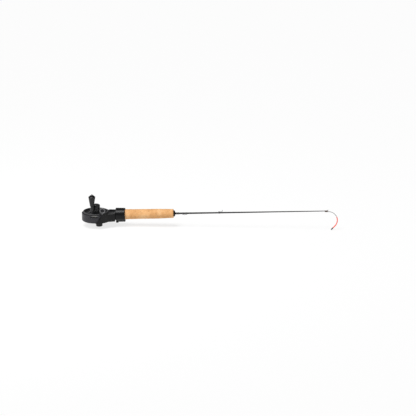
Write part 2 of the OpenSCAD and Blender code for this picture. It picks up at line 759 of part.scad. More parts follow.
module bobber_tip() {
    flat = 1;
    eye = 0.6;
    hole = wire_r + lap_step + glue;
    color([0.08, 0.08, 0.08]) along_rod() after_bend(0) difference() {
        intersection() {
            union() {
                rod_x(tube_straight, straight_len, tip_r, tip_r);
                translate([straight_len, 0, 0]) sphere(r = tip_r);
            }
            translate([0, -flat, -5]) cube([60, 2 * flat, 10]);
        }
        rod_x(0, straight_len - 2.3, hole, hole);
        translate([straight_len, 5, 0]) rotate([90, 0, 0]) cylinder(h = 10, r = eye);
    }
}

drum();
frame();
frame_screws();
axle();
axle_clip();
thrust_washer();
line_eye();
line_roller();
roller_pin();
clamp_collar();
clamp_screws();
clamp_nuts();
drag_knob();
drag_screw();
drag_washer();
brake_shoe();
brake_pad();
spool();
spool_bushings();
crank_arm();
crank_screws();
hub_cap();
knob_spindle();
crank_knob();
knob_cap();
cork_grip();
grip_arbor();
winding_check();
rod_blank();
handle_wrap();
hook_keeper();
keeper_wraps();
guide_frame();
guide_ring();
guide_wraps();
tip_tube();
tip_ring();
bobber_sleeve();
bobber_anchor();
bobber_wire();
bobber_tube();
bobber_tip();
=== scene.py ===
import json
import math

import bmesh
import bpy
from mathutils import Matrix, Vector, noise

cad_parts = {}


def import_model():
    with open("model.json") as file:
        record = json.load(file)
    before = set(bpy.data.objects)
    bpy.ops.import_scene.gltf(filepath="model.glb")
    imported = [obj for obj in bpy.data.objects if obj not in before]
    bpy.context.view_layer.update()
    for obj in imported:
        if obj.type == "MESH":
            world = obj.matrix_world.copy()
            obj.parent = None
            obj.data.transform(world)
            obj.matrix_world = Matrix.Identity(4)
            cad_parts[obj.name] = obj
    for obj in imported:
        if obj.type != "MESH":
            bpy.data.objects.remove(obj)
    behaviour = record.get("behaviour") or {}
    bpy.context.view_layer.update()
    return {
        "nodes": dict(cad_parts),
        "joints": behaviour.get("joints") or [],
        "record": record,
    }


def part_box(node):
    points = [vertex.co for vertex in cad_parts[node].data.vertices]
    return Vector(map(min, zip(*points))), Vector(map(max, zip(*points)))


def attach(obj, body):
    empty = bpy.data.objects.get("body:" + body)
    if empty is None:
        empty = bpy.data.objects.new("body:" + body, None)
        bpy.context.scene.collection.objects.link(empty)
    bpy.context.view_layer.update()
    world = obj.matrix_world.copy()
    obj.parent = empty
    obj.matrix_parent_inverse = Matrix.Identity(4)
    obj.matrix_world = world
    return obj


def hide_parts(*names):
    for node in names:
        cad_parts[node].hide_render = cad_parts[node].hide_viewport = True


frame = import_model()

MM = 0.001

mounts = {m["name"]: m for m in frame["record"]["mounts"]}
joints = {j["name"]: j for j in frame["joints"]}

# The rod's own frame: local X runs along the blank, and zero is level with the spool's axis.
SPOOL_X = joints["spool_spin"]["pos_m"][0]
ROD_DIR = Vector(mounts["grip"]["axis"]).normalized()
RISE = math.atan2(ROD_DIR.z, ROD_DIR.x)
GRIP_POINT = Vector(mounts["grip"]["pos_m"])
ROD_Z = GRIP_POINT.z - (GRIP_POINT.x - SPOOL_X) * math.tan(RISE)
ALONG_ROD = Matrix.Translation((SPOOL_X, 0, ROD_Z)) @ Matrix.Rotation(-RISE, 4, "Y")
TURN_TO_X = Matrix.Rotation(math.radians(90), 4, "Y")
AT_SPOOL = Matrix.Translation((SPOOL_X, 0, 0))
KNOB_AXIS = Vector(joints["knob_spin"]["pos_m"])
AT_KNOB = Matrix.Translation((KNOB_AXIS.x, KNOB_AXIS.y, 0))


def rod_span(node):
    """First and last place of a CAD node along the rod, in the rod's own frame."""
    inverse = ALONG_ROD.inverted()
    places = [(inverse @ v.co).x for v in frame["nodes"][node].data.vertices]
    return min(places), max(places)


# ---------------------------------------------------------------- mesh helpers

def finish_piece(bm, name, body, nodes, material, smooth_angle=35, recalc=True):
    """Turns a bmesh into a smooth-shaded piece that rides on a body."""
    if recalc:
        bmesh.ops.recalc_face_normals(bm, faces=bm.faces[:])
    mesh = bpy.data.meshes.new(name)
    bm.to_mesh(mesh)
    bm.free()
    piece = bpy.data.objects.new(name, mesh)
    bpy.context.scene.collection.objects.link(piece)
    mesh.materials.append(material)
    mesh.shade_smooth()
    mesh.set_sharp_from_angle(angle=math.radians(smooth_angle))
    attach(piece, body)
    if nodes:
        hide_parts(*nodes)
    return piece


def add_bevel(piece, width, segments=3, angle=40):
    """Rounds a piece's sharp edges and keeps its flat faces flat."""
    bevel = piece.modifiers.new("edge rounding", "BEVEL")
    bevel.width = width
    bevel.segments = segments
    bevel.limit_method = "ANGLE"
    bevel.angle_limit = math.radians(angle)
    bevel.use_clamp_overlap = True
    bevel.harden_normals = False
    return piece


def spin_profile(bm, profile, steps, place):
    """Spins a profile of (radius, height) points about Z and puts it in place."""
    verts = [bm.verts.new((r, 0, z)) for r, z in profile]
    edges = [bm.edges.new(pair) for pair in zip(verts, verts[1:])]
    bmesh.ops.spin(bm, geom=verts + edges, cent=(0, 0, 0), axis=(0, 0, 1),
                   angle=2 * math.pi, steps=steps, use_merge=True)
    bmesh.ops.remove_doubles(bm, verts=bm.verts[:], dist=1e-7)
    bmesh.ops.transform(bm, matrix=place, verts=bm.verts[:])


def rounded(points, radius, steps=4):
    """Rounds the inner corners of an open profile with arcs of up to the given radius."""
    out = [points[0]]
    for before, corner, after in zip(points, points[1:], points[2:]):
        c = Vector(corner)
        to_before, to_after = Vector(before) - c, Vector(after) - c
        reach = min(radius, to_before.length * 0.45, to_after.length * 0.45)
        start = c + to_before.normalized() * reach
        end = c + to_after.normalized() * reach
        for i in range(steps + 1):
            t = i / steps
            out.append(tuple((1 - t) ** 2 * start + 2 * t * (1 - t) * c + t ** 2 * end))
    out.append(points[-1])
    return out


def refined(node, piece_name, body, material, bevel=0.0, smooth_angle=30):
    """A copy of a CAD node with its triangles merged, shaded smooth and its edges rounded."""
    bm = bmesh.new()
    bm.from_mesh(frame["nodes"][node].data)
    bmesh.ops.remove_doubles(bm, verts=bm.verts[:], dist=2e-6)
    bmesh.ops.dissolve_limit(bm, angle_limit=math.radians(0.8), use_dissolve_boundaries=False,
                             verts=bm.verts[:], edges=bm.edges[:])
    piece = finish_piece(bm, piece_name, body, [node], material, smooth_angle, recalc=False)
    if bevel:
        add_bevel(piece, bevel)
    return piece


# ---------------------------------------------------------------- material helpers

def new_material(name):
    material = bpy.data.materials.new(name)
    material.use_nodes = True
    tree = material.node_tree
    shader = tree.nodes["Principled BSDF"]
    coords = tree.nodes.new("ShaderNodeTexCoord")
    return material, tree, shader, coords.outputs["Object"]


def noise_node(tree, vector, scale, detail=4.0, roughness=0.55):
    node = tree.nodes.new("ShaderNodeTexNoise")
    node.inputs["Scale"].default_value = scale
    node.inputs["Detail"].default_value = detail
    node.inputs["Roughness"].default_value = roughness
    tree.links.new(vector, node.inputs["Vector"])
    return node.outputs["Fac"]


def ramp_node(tree, value, stops):
    node = tree.nodes.new("ShaderNodeValToRGB")
    elements = node.color_ramp.elements
    while len(elements) < len(stops):
        elements.new(0.5)
    for element, (place, colour) in zip(elements, stops):
        element.position = place
        element.color = (*colour, 1)
    tree.links.new(value, node.inputs["Fac"])
    return node.outputs["Color"]


def range_node(tree, value, low, high, to_low, to_high):
    node = tree.nodes.new("ShaderNodeMapRange")
    for socket, number in zip(("From Min", "From Max", "To Min", "To Max"), (low, high, to_low, to_high)):
        node.inputs[socket].default_value = number
    tree.links.new(value, node.inputs["Value"])
    return node.outputs["Result"]


def math_node(tree, operation, first, second=None):
    node = tree.nodes.new("ShaderNodeMath")
    node.operation = operation
    for socket, value in zip(node.inputs, (first, second)):
        if value is None:
            continue
        if isinstance(value, (int, float)):
            socket.default_value = value
        else:
            tree.links.new(value, socket)
    return node.outputs["Value"]


def mix_node(tree, factor, first, second):
    node = tree.nodes.new("ShaderNodeMix")
    node.data_type = "RGBA"
    sockets = {s.identifier: s for s in node.inputs}
    for key, value in (("Factor_Float", factor), ("A_Color", first), ("B_Color", second)):
        if isinstance(value, (int, float)):
            sockets[key].default_value = value
        elif isinstance(value, tuple):
            sockets[key].default_value = (*value, 1)
        else:
            tree.links.new(value, sockets[key])
    return {s.identifier: s for s in node.outputs}["Result_Color"]


def bump_node(tree, shader, height, distance, strength=1.0):
    node = tree.nodes.new("ShaderNodeBump")
    node.inputs["Distance"].default_value = distance
    node.inputs["Strength"].default_value = strength
    tree.links.new(height, node.inputs["Height"])
    tree.links.new(node.outputs["Normal"], shader.inputs["Normal"])


def stretched(tree, vector, scale):
    node = tree.nodes.new("ShaderNodeMapping")
    node.inputs["Scale"].default_value = scale
    tree.links.new(vector, node.inputs["Vector"])
    return node.outputs["Vector"]


# ---------------------------------------------------------------- materials

def moulded_plastic(name, colour, rough, specular=0.5, grain=0.00004, coat=0.0):
    """Moulded plastic: a fine grain, faint flow marks and a few rubbed patches."""
    material, tree, shader, place = new_material(name)
    flow = noise_node(tree, stretched(tree, place, (40, 40, 90)), 1.0, 3)
    fine = noise_node(tree, place, 2600, 2)
    rubbed = noise_node(tree, place, 170, 5, 0.65)
    darker = tuple(c * 0.82 for c in colour)
    lighter = tuple(c * 1.25 + 0.002 for c in colour)
    tone = ramp_node(tree, flow, [(0.3, darker), (0.7, lighter)])
    worn = tuple(c * 1.5 + 0.002 for c in colour)
    tone = mix_node(tree, range_node(tree, rubbed, 0.58, 0.78, 0, 0.5), tone, worn)
    tree.links.new(tone, shader.inputs["Base Color"])
    tree.links.new(range_node(tree, rubbed, 0.3, 0.7, rough + 0.05, rough - 0.06), shader.inputs["Roughness"])
    shader.inputs["Specular IOR Level"].default_value = specular
    shader.inputs["Coat Weight"].default_value = coat
    shader.inputs["Coat Roughness"].default_value = 0.12
    bump_node(tree, shader, fine, grain)
    return material


def metal(name, colour, rough, streak=(60, 60, 2400)):
    """Metal with fine drawn streaks and slight tarnish."""
    material, tree, shader, place = new_material(name)
    streaks = noise_node(tree, stretched(tree, place, streak), 1.0, 3)
    tarnish = noise_node(tree, place, 320, 4)
    dull = tuple(c * 0.72 for c in colour)
    tree.links.new(ramp_node(tree, tarnish, [(0.35, dull), (0.6, colour)]), shader.inputs["Base Color"])
    tree.links.new(range_node(tree, streaks, 0.3, 0.7, rough - 0.08, rough + 0.12),
                   shader.inputs["Roughness"])
    shader.inputs["Metallic"].default_value = 1.0
    bump_node(tree, shader, streaks, 0.00001)
    return material


def cork(name, ring):
    """Glued cork rings: each ring has its own tone, with pale grain, dark pits and thin joints."""
    deep, warm, fair = (0.50, 0.245, 0.085), (0.66, 0.36, 0.15), (0.78, 0.50, 0.26)
    ring_tint, pale_grain = (0.56, 0.27, 0.095), (0.80, 0.56, 0.32)
    pit_brown, joint_brown = (0.17, 0.065, 0.022), (0.28, 0.12, 0.045)
    material, tree, shader, place = new_material(name)
    mapping = tree.nodes.new("ShaderNodeMapping")
    rod_origin = Matrix.Rotation(RISE, 3, "Y") @ Vector((SPOOL_X, 0, ROD_Z))
    mapping.inputs["Location"].default_value = tuple(-rod_origin)
    mapping.inputs["Rotation"].default_value = (0, RISE, 0)
    tree.links.new(place, mapping.inputs["Vector"])
    along = mapping.outputs["Vector"]
    split = tree.nodes.new("ShaderNodeSeparateXYZ")
    tree.links.new(along, split.inputs["Vector"])
    count = math_node(tree, "DIVIDE", math_node(tree, "SUBTRACT", split.outputs["X"], GRIP_X0), ring)
    ring_tone = tree.nodes.new("ShaderNodeTexWhiteNoise")
    ring_tone.noise_dimensions = "1D"
    tree.links.new(math_node(tree, "FLOOR", count), ring_tone.inputs["W"])
    cloud = noise_node(tree, along, 55, 5, 0.6)
    grain = noise_node(tree, stretched(tree, along, (650, 260, 260)), 1.0, 6, 0.7)
    tone = ramp_node(tree, cloud, [(0.25, deep), (0.5, warm), (0.75, fair)])
    tone = mix_node(tree, math_node(tree, "MULTIPLY", ring_tone.outputs["Value"], 0.35), tone, ring_tint)
    tone = mix_node(tree, range_node(tree, grain, 0.52, 0.74, 0, 0.5), tone, pale_grain)
    streak = noise_node(tree, stretched(tree, along, (330, 90, 90)), 1.0, 6, 0.75)
    speck = noise_node(tree, stretched(tree, along, (900, 520, 520)), 1.0, 3, 0.6)
    long_pits = range_node(tree, streak, 0.60, 0.68, 0, 1)
    small_pits = range_node(tree, speck, 0.66, 0.74, 0, 1)
    pits = math_node(tree, "MAXIMUM", long_pits, small_pits)
    tone = mix_node(tree, math_node(tree, "MULTIPLY", pits, 0.62), tone, pit_brown)
    joint = math_node(tree, "ABSOLUTE", math_node(tree, "SUBTRACT", math_node(tree, "FRACT", count), 0.5))
    joint_line = range_node(tree, joint, 0.486, 0.497, 0, 1)
    tone = mix_node(tree, math_node(tree, "MULTIPLY", joint_line, 0.4), tone, joint_brown)
    tree.links.new(tone, shader.inputs["Base Color"])
    tree.links.new(range_node(tree, grain, 0.3, 0.7, 0.82, 0.68), shader.inputs["Roughness"])
    shader.inputs["Specular IOR Level"].default_value = 0.3
    height = math_node(tree, "SUBTRACT", math_node(tree, "MULTIPLY", grain, 0.4), pits)
    height = math_node(tree, "SUBTRACT", height, math_node(tree, "MULTIPLY", joint_line, 0.5))
    bump_node(tree, shader, height, 0.00018, 0.9)
    return material


def lacquer(name, colour, rough, coat, fleck=(0.0, 0.0, 0.0), specular=0.5):
    """Glossy lacquer over a darker core, with faint orange peel."""
    material, tree, shader, place = new_material(name)
    peel = noise_node(tree, place, 900, 2)
    drift = noise_node(tree, stretched(tree, place, (30, 400, 400)), 1.0, 3)
    light = tuple(c * 1.3 + f for c, f in zip(colour, fleck))
    tree.links.new(ramp_node(tree, drift, [(0.35, colour), (0.7, light)]), shader.inputs["Base Color"])
    tree.links.new(range_node(tree, peel, 0.3, 0.7, rough - 0.03, rough + 0.05), shader.inputs["Roughness"])
    shader.inputs["Specular IOR Level"].default_value = specular
    shader.inputs["Coat Weight"].default_value = coat
    shader.inputs["Coat Roughness"].default_value = 0.05
    bump_node(tree, shader, peel, 0.00001, 0.5)
    return material


def soft_tube(name, colour):
    """Bright soft vinyl tube: slightly translucent, with a dusty bloom."""
    material, tree, shader, place = new_material(name)
    bloom = noise_node(tree, place, 500, 4)
    pale = tuple(min(1, c * 1.05 + 0.04) for c in colour)
    tree.links.new(ramp_node(tree, bloom, [(0.35, colour), (0.75, pale)]), shader.inputs["Base Color"])
    tree.links.new(range_node(tree, bloom, 0.3, 0.7, 0.3, 0.42), shader.inputs["Roughness"])
    shader.inputs["Subsurface Weight"].default_value = 0.25
    shader.inputs["Subsurface Radius"].default_value = (0.002, 0.0006, 0.0003)
    bump_node(tree, shader, bloom, 0.00002)
    return material


def felt(name, colour):
    material, tree, shader, place = new_material(name)
    fibres = noise_node(tree, place, 3000, 6, 0.8)
    tree.links.new(ramp_node(tree, fibres, [(0.3, tuple(c * 0.6 for c in colour)), (0.7, colour)]),
                   shader.inputs["Base Color"])
    shader.inputs["Roughness"].default_value = 0.95
    shader.inputs["Sheen Weight"].default_value = 0.4
    bump_node(tree, shader, fibres, 0.0001)
    return material


GRIP_X0, GRIP_X1 = rod_span("cork_grip")
CORK_RINGS = 10
CORK_RING = (GRIP_X1 - GRIP_X0) / CORK_RINGS

drum_plastic = moulded_plastic("drum plastic", (0.014, 0.0135, 0.0175), 0.38, 0.4)
frame_plastic = moulded_plastic("frame plastic", (0.0035, 0.0035, 0.004), 0.34, 0.22)
spool_plastic = moulded_plastic("spool plastic", (0.020, 0.020, 0.022), 0.28, 0.6)
knob_plastic = moulded_plastic("knob plastic", (0.004, 0.004, 0.0045), 0.2, 0.3, coat=0.15)
arm_plastic = moulded_plastic("crank plastic", (0.009, 0.009, 0.010), 0.24, 0.45)
eye_plastic = moulded_plastic("eye plastic", (0.075, 0.075, 0.078), 0.35, 0.5)
collar_nylon = moulded_plastic("collar nylon", (0.003, 0.003, 0.0034), 0.32, 0.2)
roller_plastic = moulded_plastic("roller plastic", (0.11, 0.107, 0.10), 0.42, 0.4)
check_rubber = moulded_plastic("check rubber", (0.004, 0.004, 0.004), 0.6, 0.25)
nylon = moulded_plastic("natural nylon", (0.6, 0.57, 0.5), 0.4)
arbor_filler = moulded_plastic("arbor filler", (0.06, 0.06, 0.06), 0.7)
steel = metal("bright steel", (0.62, 0.62, 0.63), 0.3)
dark_steel = metal("blackened steel", (0.09, 0.09, 0.095), 0.38)
spring_steel = metal("spring steel", (0.06, 0.056, 0.05), 0.45, (2400, 60, 60))
bronze = metal("sintered bronze", (0.62, 0.42, 0.20), 0.42)
cork_skin = cork("cork", CORK_RING)
blank_gloss = lacquer("blank lacquer", (0.002, 0.002, 0.0023), 0.3, 0.04, specular=0.2)
thread_coat = lacquer("wrapped thread", (0.004, 0.004, 0.005), 0.32, 0.2, (0.002, 0.002, 0.0025))
tip_lacquer = lacquer("brown lacquer", (0.050, 0.022, 0.010), 0.3, 0.5)
ring_ceramic = lacquer("ring ceramic", (0.045, 0.045, 0.05), 0.15, 0.8)
bobber_red = soft_tube("bobber tube", (0.86, 0.065, 0.025))
bobber_black = lacquer("bobber bead", (0.003, 0.003, 0.003), 0.3, 0.1, specular=0.2)
brake_felt = felt("brake felt", (0.16, 0.10, 0.06))

NODE_MATERIALS = {
    "frame_screws": steel, "axle": steel, "axle_clip": steel, "thrust_washer": bronze,
    "drag_screw": steel, "drag_washer": steel, "brake_shoe": nylon, "brake_pad": brake_felt,
    "spool_bushings": bronze, "crank_screws": steel, "knob_spindle": steel,
    "grip_arbor": arbor_filler, "roller_pin": dark_steel, "bobber_anchor": steel,
}
for node_name, node_material in NODE_MATERIALS.items():
    cad_mesh = frame["nodes"][node_name].data
    cad_mesh.materials.clear()
    cad_mesh.materials.append(node_material)


# ---------------------------------------------------------------- reel

refined("drum", "drum_shell", "rod", drum_plastic, 0.35 * MM)
refined("frame", "frame_moulding", "rod", frame_plastic, 0.5 * MM)
refined("clamp_collar", "collar_shell", "rod", collar_nylon, 0.35 * MM)
refined("clamp_screws", "collar_screws", "rod", dark_steel, 0.15 * MM)
refined("clamp_nuts", "collar_nuts", "rod", dark_steel, 0.12 * MM)
refined("crank_arm", "crank_lever", "spool", arm_plastic, 0.6 * MM)
refined("line_roller", "port_roller", "line_roller", roller_plastic, 0.12 * MM)
refined("line_eye", "standing_eye", "rod", eye_plastic, 0.2 * MM)


def spool_disc():
    """The spool, with thin ribs across its dished face."""
    low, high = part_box("spool")
    outer = (high.x - low.x) / 2
    bore, core, hub = 2.4 * MM, 13 * MM, 10.4 * MM
    rim_rise, rim_width, dish, face_wall, flange = 3.4 * MM, 3 * MM, 5 * MM, 2 * MM, 1.5 * MM
    rim_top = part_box("drum")[1].z + rim_rise
    face = rim_top - dish
    under = face - face_wall
    profile = rounded([
        (bore, low.z), (outer, low.z), (outer, low.z + flange), (core, low.z + flange),
        (core, under), (outer, under), (outer, rim_top), (outer - rim_width, rim_top),
        (outer - rim_width - 0.4 * MM, face), (hub, face), (hub, high.z), (bore, high.z), (bore, low.z),
    ], 0.5 * MM)
    bm = bmesh.new()
    spin_profile(bm, profile, 128, AT_SPOOL)
    rib_height, rib_width, ribs = 1.6 * MM, 1.5 * MM, 8
    inner, reach = hub - 0.5 * MM, outer - rim_width
    for i in range(ribs):
        rib = bmesh.ops.create_cube(bm, size=1)["verts"]
        size = Matrix.Diagonal((reach - inner, rib_width, 2 * rib_height, 1))
        shift = Matrix.Translation(((reach + inner) / 2, 0, face))
        turn = Matrix.Rotation((i + 0.5) * 2 * math.pi / ribs, 4, "Z")
        bmesh.ops.transform(bm, matrix=AT_SPOOL @ turn @ shift @ size, verts=rib)
    piece = finish_piece(bm, "spool_disc", "spool", ["spool"], spool_plastic)
    add_bevel(piece, 0.25 * MM, 2, 60)


def quarter_round(centre_r, centre_x, radius, start, stop):
    """Points (radius, distance) on a turned edge's rounding, every ten degrees."""
    turns = [math.radians(a) for a in range(start, stop, 10)]
    return [(centre_r + radius * math.cos(a), centre_x + radius * math.sin(a)) for a in turns]


def hub_dome():
    """The cap over the crank's screws, with a rounded shoulder and a sunk middle."""
    low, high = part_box("hub_cap")
    r = (high.x - low.x) / 2
    top, shoulder, sink = high.z, 2.6 * MM, 0.35 * MM
    profile = [(0, low.z), (r, low.z)] + quarter_round(r - shoulder, top - shoulder, shoulder, 0, 91)
    profile += [(r * 0.55, top), (r * 0.5, top - sink), (0, top - sink)]
    bm = bmesh.new()
    spin_profile(bm, profile, 96, AT_SPOOL)
    finish_piece(bm, "hub_dome", "spool", ["hub_cap"], knob_plastic, 40)


def fluted(bm, axis, count, depth, low, high, phase=0.0):
    """Presses shallow flutes into a turned shape between two heights."""
    for v in bm.verts:
        x, y = v.co.x - axis.x, v.co.y - axis.y
        fade = min(1, max(0, (v.co.z - low) / (2.5 * MM))) * min(1, max(0, (high - v.co.z) / (1.5 * MM)))
        if fade <= 0:
            continue
        wave = 0.5 + 0.5 * math.cos(count * math.atan2(y, x) + phase)
        keep = 1 - depth * fade * wave ** 2
        v.co.x = axis.x + x * keep
        v.co.y = axis.y + y * keep


def crank_handle():
    """The standing crank knob, which widens upwards in shallow flutes, and the peak in its top."""
    low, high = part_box("crank_knob")
    cap_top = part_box("knob_cap")[1].z
    r, foot, edge = (high.x - low.x) / 2, 4.8 * MM, 0.6 * MM
    bore, peak_r = 1.84 * MM, 3.3 * MM
    shoulder = low.z + 0.84 * (high.z - low.z)
    rows = 22
    side = [(foot + (r - foot) * i / rows, low.z + edge + (shoulder - low.z - edge) * i / rows)
            for i in range(rows + 1)]
    crown = [(r, shoulder), (r - 0.5 * MM, shoulder + 0.9 * MM),
             (peak_r + 0.2 * MM, high.z), (peak_r, high.z)]
    profile = [(bore, low.z), (foot - edge, low.z)] + side + rounded(crown, edge)[1:]
    bm = bmesh.new()
    spin_profile(bm, profile, 160, AT_KNOB)
    fluted(bm, KNOB_AXIS, 8, 0.12, low.z + 1.5 * MM, shoulder + 0.3 * MM, 0)
    finish_piece(bm, "crank_handle", "crank_knob", ["crank_knob"], knob_plastic, 50)
    peak = rounded([(0, high.z - 2 * MM), (peak_r, high.z - 2 * MM), (peak_r, high.z + 0.02 * MM),
                    (2.2 * MM, high.z + 1 * MM), (1.4 * MM, cap_top - 0.15 * MM), (0, cap_top)], 0.4 * MM)
    bm = bmesh.new()
    spin_profile(bm, peak, 64, AT_KNOB)
    finish_piece(bm, "handle_peak", "crank_knob", ["knob_cap"], knob_plastic, 40)


def brake_knob():
    """The drag knob under the drum: a fluted grip that curves in to a waist, with a washer seat on top."""
    low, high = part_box("drag_knob")
    r, waist, flare = (high.x - low.x) / 2, 5.6 * MM, 5 * MM
    centre_z, grip_z = high.z - 3.2 * MM, 0.9 * MM
    seat_r, seat_z, screw_r = 4.3 * MM, high.z - 1.1 * MM, 2 * MM
    start = math.acos((waist + flare - r) / flare)
    turns = [start * (1 - i / 8) for i in range(9)]
    curve = [(waist + flare - flare * math.cos(a), centre_z - flare * math.sin(a)) for a in turns]
    grip = [(r, grip_z + (curve[0][1] - grip_z) * i / 8) for i in range(9)]
    profile = [(0, low.z + 0.4 * MM), (r - 3 * MM, low.z + 0.4 * MM), (r - 3.3 * MM, low.z),
               (r - 0.8 * MM, low.z), (r - 0.25 * MM, low.z + 0.3 * MM)]
    profile += grip + curve[1:]
    profile += [(waist, high.z - 0.2 * MM), (waist - 0.3 * MM, high.z), (seat_r + 0.1 * MM, high.z),
                (seat_r, seat_z), (screw_r, seat_z)]
    bm = bmesh.new()
    spin_profile(bm, profile, 192, Matrix.Identity(4))
    fluted(bm, Vector((0, 0, 0)), 12, 0.09, 0.6 * MM, curve[0][1] + 0.6 * MM, math.pi)
    finish_piece(bm, "brake_knob", "drag_knob", ["drag_knob"], knob_plastic, 50)


spool_disc()
hub_dome()
crank_handle()
brake_knob()


# ---------------------------------------------------------------- rod

def blank_radius(x):
    """The blank is a straight taper between the radii of its two ends."""
    return BLANK_BUTT + (BLANK_TIP - BLANK_BUTT) * (x - BLANK_X0) / (BLANK_X1 - BLANK_X0)


def end_radius(node, at_start):
    """Radius of a turned CAD node at one of its ends."""
    inverse = ALONG_ROD.inverted()
    points = [inverse @ v.co for v in frame["nodes"][node].data.vertices]
    edge = min(p.x for p in points) if at_start else max(p.x for p in points)
    return max(math.hypot(p.y, p.z) for p in points if abs(p.x - edge) < 0.01 * MM)


BLANK_X0, BLANK_X1 = rod_span("rod_blank")
BLANK_BUTT = end_radius("rod_blank", True)
BLANK_TIP = end_radius("rod_blank", False)


def turned_along(profile, steps, name, nodes, material):
    """A turned piece on the rod's axis, from (radius, distance along the rod) points."""
    bm = bmesh.new()
    spin_profile(bm, profile, steps, ALONG_ROD @ TURN_TO_X)
    return finish_piece(bm, name, "rod", nodes, material)


def cork_handle():
    """Cork rings glued and sanded to one shape, with real pits pressed into the surface."""
    butt, mid, front, nose = 12.2 * MM, 11.7 * MM, 10.8 * MM, 2.2 * MM
    length = GRIP_X1 - GRIP_X0
    run, butt_len = 45 * MM, 12 * MM
    arbor, edge = 4 * MM, 0.2 * MM

    def smooth(t):
        t = min(1, max(0, t))
        return t * t * (3 - 2 * t)

    def radius(x):
        if x < run:
            return butt + (mid - butt) * smooth((x - butt_len) / (run - butt_len))
        return mid + (front - mid) * smooth((x - length + run) / (run - nose))

    rows = 230
    profile = [(arbor, GRIP_X0), (butt - 0.3 * MM, GRIP_X0)]
    profile += [(radius((length - nose) * i / rows), GRIP_X0 + edge + (length - nose - edge) * i / rows)
                for i in range(rows + 1)]
    profile += quarter_round(front - nose, GRIP_X1 - nose, nose, 10, 91)
    profile += [(arbor, GRIP_X1)]
    bm = bmesh.new()
    spin_profile(bm, profile, 144, TURN_TO_X)
    deepest, joint_depth, joint_half = 0.32, 0.07 * MM, 0.035
    for v in bm.verts:
        r = math.hypot(v.co.y, v.co.z)
        if r < 2 * arbor or v.co.x < GRIP_X0 + edge / 2:
            continue
        streak = noise.fractal(Vector((v.co.x * 260, v.co.y * 110, v.co.z * 110)), 1.0, 2.0, 4)
        dent = max(0, streak - 0.34) * 0.9
        place = (v.co.x - GRIP_X0) / CORK_RING % 1
        joint = max(0, 1 - min(place, 1 - place) / joint_half)
        sink = min(deepest, dent) * MM + joint_depth * joint
        v.co.y *= 1 - sink / r
        v.co.z *= 1 - sink / r
    bmesh.ops.transform(bm, matrix=ALONG_ROD, verts=bm.verts[:])
    finish_piece(bm, "cork_handle", "rod", ["cork_grip"], cork_skin, 50)


def thread_wrap(name, x0, x1, build, turns, nodes):
    """Whipping thread: one rib for each turn, under a clear coat that runs out on to the blank."""
    profile = [(blank_radius(x0), x0 - 0.3 * MM), (blank_radius(x0) + build * 0.5, x0)]
    for i in range(turns * 4 + 1):
        t = i / (turns * 4)
        x = x0 + (x1 - x0) * t
        edge = min(1, min(t, 1 - t) * 9 + 0.45)
        rib = 0.035 * MM * abs(math.sin(math.pi * t * turns))
        profile.append((blank_radius(x) + build * edge + rib, x))
    profile += [(blank_radius(x1) + build * 0.5, x1), (blank_radius(x1), x1 + 0.3 * MM)]
    bm = bmesh.new()
    spin_profile(bm, profile, 40, ALONG_ROD @ TURN_TO_X)
    return finish_piece(bm, name, "rod", nodes, thread_coat, 60)


def blank():
    """The plain taper of the blank, from inside the grip to its tip."""
    steps = 90
    places = [BLANK_X0 + (BLANK_X1 - BLANK_X0) * i / steps for i in range(steps + 1)]
    profile = [(0, BLANK_X0)] + [(blank_radius(x), x) for x in places] + [(0, BLANK_X1)]
    turned_along(profile, 48, "tapered_blank", ["rod_blank"], blank_gloss)


def front_check():
    """The rubber winding check that closes the front of the grip."""
    x0, x1 = rod_span("winding_check")
    r, bore = 7.15 * MM, blank_radius(x1) + 0.02 * MM
    profile = rounded([(bore, x0), (r - 0.3 * MM, x0), (r, x0 + 0.6 * MM), (r, x1 - 2.3 * MM),
                       (r - 1.4 * MM, x1 - 1.3 * MM), (3 * MM, x1 - 0.9 * MM), (2.6 * MM, x1), (bore, x1)],
                      0.5 * MM)
    turned_along(profile, 96, "front_check", ["winding_check"], check_rubber)


cork_handle()
blank()
front_check()
WRAP = rod_span("handle_wrap")
thread_wrap("handle_whipping", WRAP[0] + 0.3 * MM, WRAP[1] - 0.3 * MM, 0.38 * MM, 34, ["handle_wrap"])
refined("hook_keeper", "keeper_wire", "rod", dark_steel)
refined("keeper_wraps", "keeper_whipping", "rod", thread_coat, 0.25 * MM)
refined("guide_frame", "guide_leg", "rod", dark_steel, 0.08 * MM)
refined("guide_ring", "guide_insert", "rod", ring_ceramic, 0.06 * MM)
refined("guide_wraps", "guide_whipping", "rod", thread_coat, 0.25 * MM)
refined("tip_tube", "tip_ferrule", "rod", tip_lacquer, 0.08 * MM)
refined("tip_ring", "tip_loop", "rod", tip_lacquer, 0.12 * MM)
refined("bobber_sleeve", "tip_sleeve", "rod", tip_lacquer, 0.12 * MM)


# ---------------------------------------------------------------- spring bobber

BEND_ANGLE = math.radians(135)
BARE_ANGLE = math.radians(69)
STRAIGHT = 12 * MM
WIRE_R, TUBE_R = 0.6 * MM, 1.2 * MM
TIP_R, TIP_LEN = 1.4 * MM, 7 * MM
PIVOT = ALONG_ROD.inverted() @ Vector(joints["bobber_flex"]["pos_m"])
BOBBER_EYE = ALONG_ROD.inverted() @ Vector(mounts["bobber_eye"]["pos_m"])
BEND_R = (BOBBER_EYE.x - PIVOT.x - STRAIGHT * math.cos(BEND_ANGLE)) / math.sin(BEND_ANGLE)
BEND_CENTRE = PIVOT - Vector((0, 0, BEND_R))


def on_bend(angle):
    """Place and heading on the wire's bend, an angle round from its root."""
    place = BEND_CENTRE + BEND_R * Vector((math.sin(angle), 0, math.cos(angle)))
    return place, Vector((math.cos(angle), 0, -math.sin(angle)))


